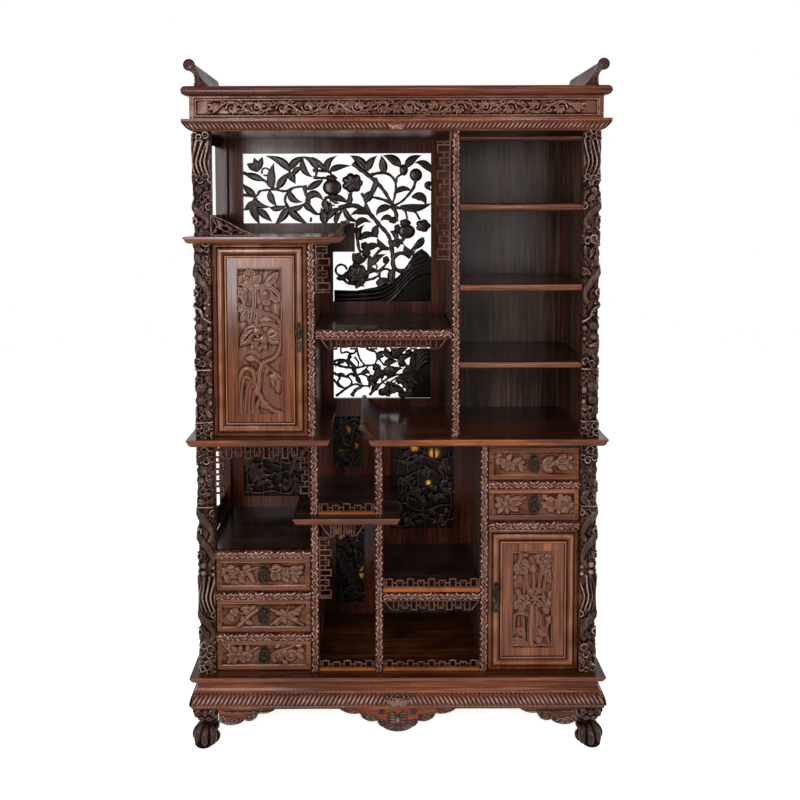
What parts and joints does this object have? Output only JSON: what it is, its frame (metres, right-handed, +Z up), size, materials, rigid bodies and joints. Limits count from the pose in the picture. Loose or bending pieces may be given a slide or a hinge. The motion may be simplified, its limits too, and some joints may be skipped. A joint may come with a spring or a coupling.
{
  "type": "display cabinet",
  "caption": "Tall carved Chinese display cabinet with stepped open bays, bookshelves, drawers, two cupboard doors and paw feet.",
  "frame": {"origin": "on the floor under the middle of the boards", "axes": "+Z up, +X to the right of someone facing the cabinet, +Y from the front to the back"},
  "size_m": [1.3, 0.45, 2.15],
  "materials": {
    "case_rosewood": "satin lacquered dark rosewood",
    "carved_rosewood": "carved and lacquered dark rosewood",
    "panel_rosewood": "satin lacquered red-brown rosewood",
    "inside_wood": "plain unvarnished secondary wood",
    "bronze": "dark patinated bronze"
  },
  "bodies": {
    "case": {"aprons": "carved_rosewood", "back_boards": "case_rosewood", "back_frame_lower": "case_rosewood", "back_frame_upper": "case_rosewood", "balustrades": "carved_rosewood", "base_board": "case_rosewood", "base_moulding": "case_rosewood", "bookshelves": "case_rosewood", "carved_posts": "carved_rosewood", "carved_rails": "carved_rosewood", "case_panels": "case_rosewood", "ceiling_board": "case_rosewood", "centre_shelf": "case_rosewood", "corner_pillars": "carved_rosewood", "cornice": "case_rosewood", "cupboard_top": "case_rosewood", "dust_boards": "inside_wood", "fretwork": "carved_rosewood", "frieze": "case_rosewood", "hinge_pins": "bronze", "legs": "carved_rosewood", "lower_shelves": "case_rosewood", "middle_boards": "case_rosewood", "pierced_panels_lower": "carved_rosewood", "pierced_panels_upper": "carved_rosewood", "rear_posts": "case_rosewood", "scrolled_ends": "case_rosewood", "side_frets": "carved_rosewood", "step_shelf": "case_rosewood", "top_board": "case_rosewood"},
    "drawer_1": {"drawer_1_front": "panel_rosewood", "drawer_1_box": "inside_wood", "drawer_1_pull": "bronze"},
    "drop_1": {"drawer_1_drop": "bronze"},
    "drawer_2": {"drawer_2_front": "panel_rosewood", "drawer_2_box": "inside_wood", "drawer_2_pull": "bronze"},
    "drop_2": {"drawer_2_drop": "bronze"},
    "drawer_3": {"drawer_3_front": "panel_rosewood", "drawer_3_box": "inside_wood", "drawer_3_pull": "bronze"},
    "drop_3": {"drawer_3_drop": "bronze"},
    "drawer_4": {"drawer_4_front": "panel_rosewood", "drawer_4_box": "inside_wood", "drawer_4_pull": "bronze"},
    "drop_4": {"drawer_4_drop": "bronze"},
    "drawer_5": {"drawer_5_front": "panel_rosewood", "drawer_5_box": "inside_wood", "drawer_5_pull": "bronze"},
    "drop_5": {"drawer_5_drop": "bronze"},
    "door_left": {"door_left_frame": "case_rosewood", "door_left_panel": "panel_rosewood", "door_left_hinges": "bronze", "door_left_lock": "bronze"},
    "drop_left": {"door_left_drop": "bronze"},
    "door_right": {"door_right_frame": "case_rosewood", "door_right_panel": "panel_rosewood", "door_right_hinges": "bronze", "door_right_lock": "bronze"},
    "drop_right": {"door_right_drop": "bronze"}
  },
  "joints": [
    {"name": "drawer_1_slide", "type": "slide", "parent": "case", "child": "drawer_1", "axis": [0, -1, 0], "range_m": [0, 0.27]},
    {"name": "drop_1_swing", "type": "hinge", "parent": "drawer_1", "child": "drop_1", "pos_m": [-0.422, -0.1835, 0.3105], "axis": [-1, 0, 0], "range_deg": [0, 75]},
    {"name": "drawer_2_slide", "type": "slide", "parent": "case", "child": "drawer_2", "axis": [0, -1, 0], "range_m": [0, 0.27]},
    {"name": "drop_2_swing", "type": "hinge", "parent": "drawer_2", "child": "drop_2", "pos_m": [-0.422, -0.1835, 0.439], "axis": [-1, 0, 0], "range_deg": [0, 75]},
    {"name": "drawer_3_slide", "type": "slide", "parent": "case", "child": "drawer_3", "axis": [0, -1, 0], "range_m": [0, 0.27]},
    {"name": "drop_3_swing", "type": "hinge", "parent": "drawer_3", "child": "drop_3", "pos_m": [-0.422, -0.1835, 0.572], "axis": [-1, 0, 0], "range_deg": [0, 75]},
    {"name": "drawer_4_slide", "type": "slide", "parent": "case", "child": "drawer_4", "axis": [0, -1, 0], "range_m": [0, 0.27]},
    {"name": "drop_4_swing", "type": "hinge", "parent": "drawer_4", "child": "drop_4", "pos_m": [0.429, -0.1835, 0.7935], "axis": [-1, 0, 0], "range_deg": [0, 75]},
    {"name": "drawer_5_slide", "type": "slide", "parent": "case", "child": "drawer_5", "axis": [0, -1, 0], "range_m": [0, 0.27]},
    {"name": "drop_5_swing", "type": "hinge", "parent": "drawer_5", "child": "drop_5", "pos_m": [0.429, -0.1835, 0.9235], "axis": [-1, 0, 0], "range_deg": [0, 75]},
    {"name": "door_left_swing", "type": "hinge", "parent": "case", "child": "door_left", "pos_m": [-0.5688, -0.1835, 1.2955], "axis": [0, 0, -1], "range_deg": [0, 90]},
    {"name": "drop_left_swing", "type": "hinge", "parent": "door_left", "child": "drop_left", "pos_m": [-0.3035, -0.1905, 1.3465], "axis": [-1, 0, 0], "range_deg": [0, 75]},
    {"name": "door_right_swing", "type": "hinge", "parent": "case", "child": "door_right", "pos_m": [0.5688, -0.1835, 0.4685], "axis": [0, 0, 1], "range_deg": [0, 90]},
    {"name": "drop_right_swing", "type": "hinge", "parent": "door_right", "child": "drop_right", "pos_m": [0.3115, -0.1905, 0.5185], "axis": [-1, 0, 0], "range_deg": [0, 75]}
  ]
}
